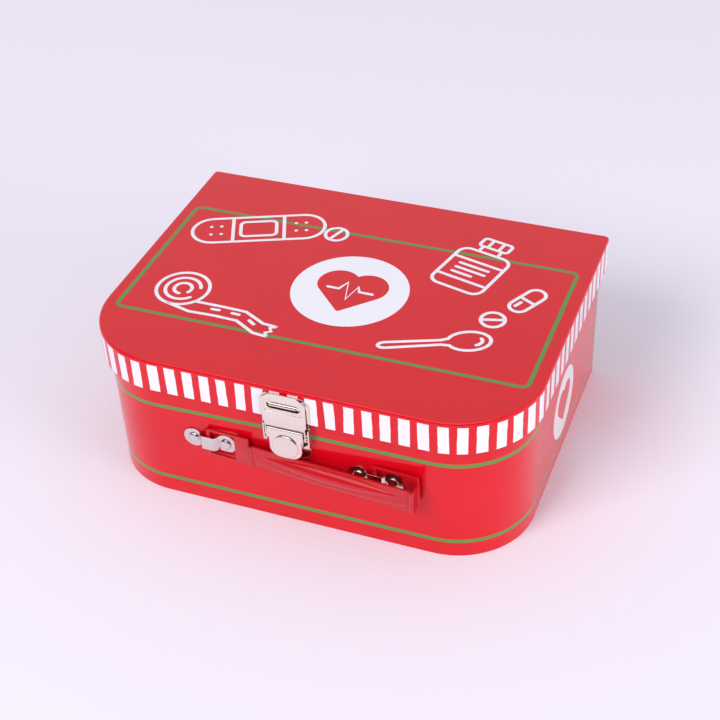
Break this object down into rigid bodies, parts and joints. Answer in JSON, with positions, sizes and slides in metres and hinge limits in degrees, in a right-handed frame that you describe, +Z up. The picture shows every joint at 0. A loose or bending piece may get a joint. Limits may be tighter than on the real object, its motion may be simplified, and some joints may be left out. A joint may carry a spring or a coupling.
{
  "type": "toy doctor case",
  "caption": "Child's red cardboard doctor case with rounded front corners, striped overlapping lid, draw latch and folding handle.",
  "frame": {"origin": "middle of the underside, on the surface the case rests on", "axes": "+X to the right seen from the front, +Y from the front (latch and handle) to the rear, +Z up"},
  "size_m": [0.25, 0.1971, 0.095],
  "materials": {
    "printed_red_paper": "glossy laminated print",
    "striped_paper": "glossy laminated print with red and white stripes",
    "greyboard": "matt grey",
    "lining_paper": "matt off-white",
    "red_handle_plastic": "soft gloss",
    "nickel_steel": "nickel plated, bright"
  },
  "bodies": {
    "case": {"base_bottom_sheet": "printed_red_paper", "base_floor_board": "greyboard", "base_floor_lining": "lining_paper", "base_wall_board": "greyboard", "base_wall_lining": "lining_paper", "base_wrap": "printed_red_paper", "handle_bracket_left": "nickel_steel", "handle_bracket_right": "nickel_steel", "handle_rivets_left": "nickel_steel", "handle_rivets_right": "nickel_steel", "handle_washers_left": "nickel_steel", "handle_washers_right": "nickel_steel", "hinge_base_leaf_left": "nickel_steel", "hinge_base_leaf_right": "nickel_steel", "hinge_base_rivets_left": "nickel_steel", "hinge_base_rivets_right": "nickel_steel", "hinge_base_washers_left": "nickel_steel", "hinge_base_washers_right": "nickel_steel", "hinge_pin_left": "nickel_steel", "hinge_pin_right": "nickel_steel", "latch_base_plate": "nickel_steel", "latch_base_rivets": "nickel_steel", "latch_base_washers": "nickel_steel", "latch_lever_pin": "nickel_steel"},
    "lid": {"hinge_lid_leaf_left": "nickel_steel", "hinge_lid_leaf_right": "nickel_steel", "hinge_lid_rivets_left": "nickel_steel", "hinge_lid_rivets_right": "nickel_steel", "lid_catch": "nickel_steel", "lid_catch_rivets": "nickel_steel", "lid_ceiling_lining": "lining_paper", "lid_skirt_board": "greyboard", "lid_skirt_lining": "lining_paper", "lid_stripe_band": "striped_paper", "lid_top_board": "greyboard", "lid_top_sheet": "printed_red_paper"},
    "latch_lever": {"latch_lever": "nickel_steel", "latch_strap_pin": "nickel_steel"},
    "latch_strap": {"latch_strap": "nickel_steel"},
    "handle_loop_left": {"handle_loop_left": "red_handle_plastic"},
    "handle_grip": {"handle_grip": "red_handle_plastic"},
    "handle_loop_right": {"handle_loop_right": "red_handle_plastic"}
  },
  "joints": [
    {"name": "lid_hinge", "type": "hinge", "parent": "case", "child": "lid", "pos_m": [0, 0.0946, 0.0742], "axis": [-1, 0, 0], "range_deg": [0, 180]},
    {"name": "latch_lever_hinge", "type": "hinge", "parent": "case", "child": "latch_lever", "pos_m": [0, -0.0938, 0.0693], "axis": [-1, 0, 0], "range_deg": [0, 115]},
    {"name": "latch_strap_hinge", "type": "hinge", "parent": "latch_lever", "child": "latch_strap", "pos_m": [0, -0.0932, 0.06434], "axis": [-1, 0, 0], "range_deg": [-127, 0]},
    {"name": "handle_loop_left_hinge", "type": "hinge", "parent": "case", "child": "handle_loop_left", "pos_m": [-0.0476, -0.091, 0.0455], "axis": [0, 0, -1], "range_deg": [0, 150]},
    {"name": "handle_knee_left", "type": "hinge", "parent": "handle_loop_left", "child": "handle_grip", "pos_m": [-0.02383, -0.09225, 0.0435], "axis": [0, 0, -1], "range_deg": [-150, 0]},
    {"name": "handle_knee_right", "type": "hinge", "parent": "handle_grip", "child": "handle_loop_right", "pos_m": [0.07137, -0.09225, 0.0435], "axis": [0, 0, -1], "range_deg": [0, 150]}
  ],
  "couplings": [
    {"joint": "latch_strap_hinge", "follows": "latch_lever_hinge", "ratio": -1.1},
    {"joint": "handle_knee_left", "follows": "handle_loop_left_hinge", "ratio": -1},
    {"joint": "handle_knee_right", "follows": "handle_loop_left_hinge", "ratio": 1}
  ]
}
